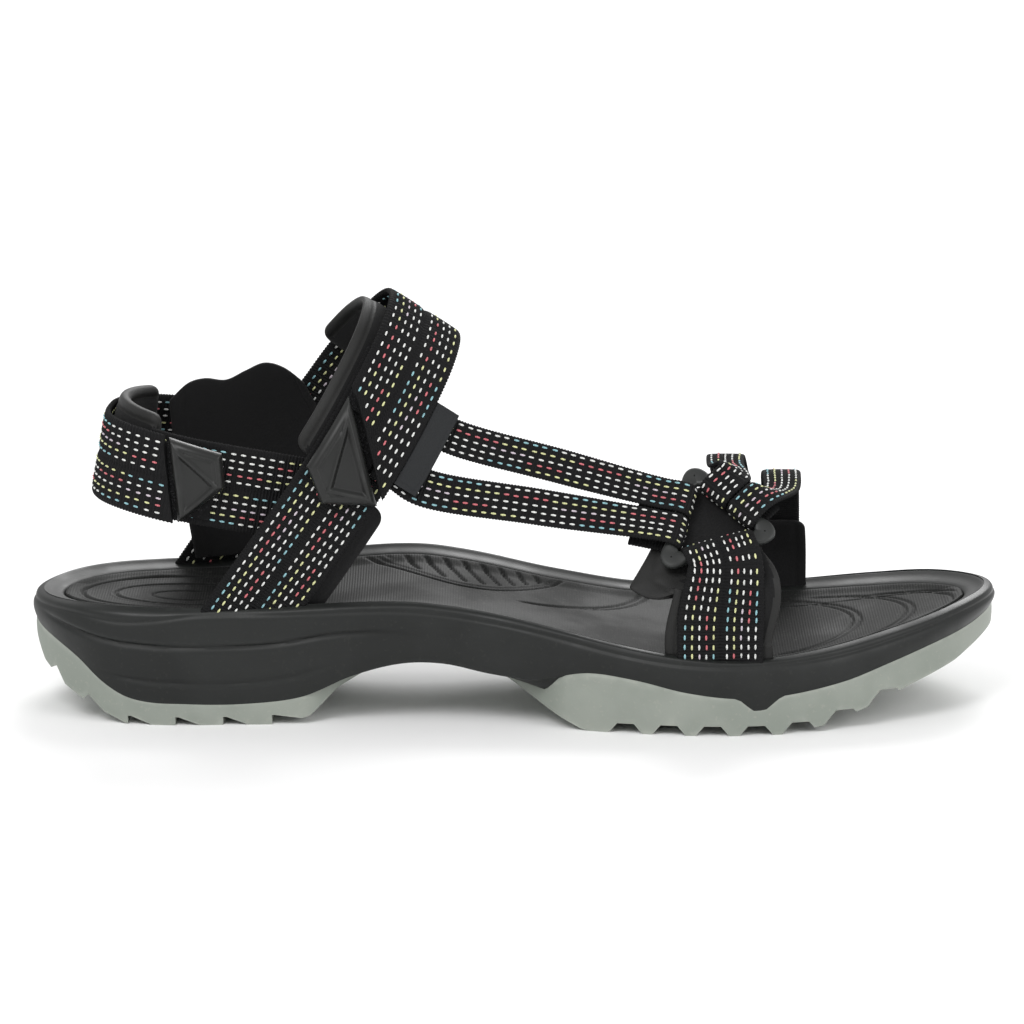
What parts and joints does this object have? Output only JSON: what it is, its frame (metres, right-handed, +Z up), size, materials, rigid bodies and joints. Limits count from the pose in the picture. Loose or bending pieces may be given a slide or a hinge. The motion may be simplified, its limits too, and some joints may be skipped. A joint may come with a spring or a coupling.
{
  "type": "sport sandal",
  "caption": "Strappy sport sandal for the right foot with a lugged cupped sole, a heel strap and a leaning instep strap that close with hook and loop, and a toe strap on a triangular ring.",
  "frame": {"origin": "on the ground, under the middle of the sandal's box", "axes": "+X from heel to toe, +Y to the inner (medial) side, +Z up"},
  "size_m": [0.2698, 0.0964, 0.1165],
  "materials": {
    "outsole_rubber": "matte moulded rubber, light grey",
    "midsole_foam": "satin moulded polyurethane foam, charcoal",
    "footbed_foam": "matte foam with a fine ribbed texture, dark grey",
    "shank_nylon": "glass-filled nylon, black",
    "shock_foam": "soft foam, blue-grey",
    "webbing": "ribbed polyester webbing, black with coloured stitches",
    "lining": "padded knit lining, black",
    "hook_and_loop": "hook and loop tape, black",
    "tab_rubber": "satin moulded rubber, dark grey",
    "ring_plastic": "satin acetal, dark grey",
    "label_cloth": "woven ribbon, charcoal"
  },
  "bodies": {
    "root": {"outsole": "outsole_rubber", "midsole": "midsole_foam", "footbed": "footbed_foam", "shank": "shank_nylon", "heel_shock_pad": "shock_foam", "lateral_rear_strap": "webbing", "lateral_rear_lining": "lining", "heel_base_strap": "webbing", "heel_loop_patch": "hook_and_loop", "heel_strap": "webbing", "heel_back_pad": "lining", "medial_collar_pad": "lining", "instep_strap": "webbing", "instep_pad": "lining", "instep_loop_patch": "hook_and_loop", "side_label": "label_cloth", "upper_connector_strap": "webbing", "lower_connector_strap": "webbing", "fore_ring": "ring_plastic", "lateral_fore_strap": "webbing", "lateral_fore_lining": "lining", "toe_band_rear": "webbing", "toe_band_front": "webbing", "medial_fore_lining": "lining"},
    "heel_flap": {"heel_flap": "webbing", "heel_tab": "tab_rubber", "heel_hook_patch": "hook_and_loop"},
    "instep_flap": {"instep_flap": "webbing", "instep_tab": "tab_rubber", "instep_hook_patch": "hook_and_loop"}
  },
  "joints": [
    {"name": "heel_flap_peel", "type": "hinge", "parent": "root", "child": "heel_flap", "pos_m": [-0.10809, -0.02585, 0.0713], "axis": [-0.1822, 0, -0.9833], "range_deg": [0, 75]},
    {"name": "instep_flap_peel", "type": "hinge", "parent": "root", "child": "instep_flap", "pos_m": [-0.02572, -0.01401, 0.10556], "axis": [-0.8241, -0.1377, 0.5495], "range_deg": [0, 80]}
  ]
}
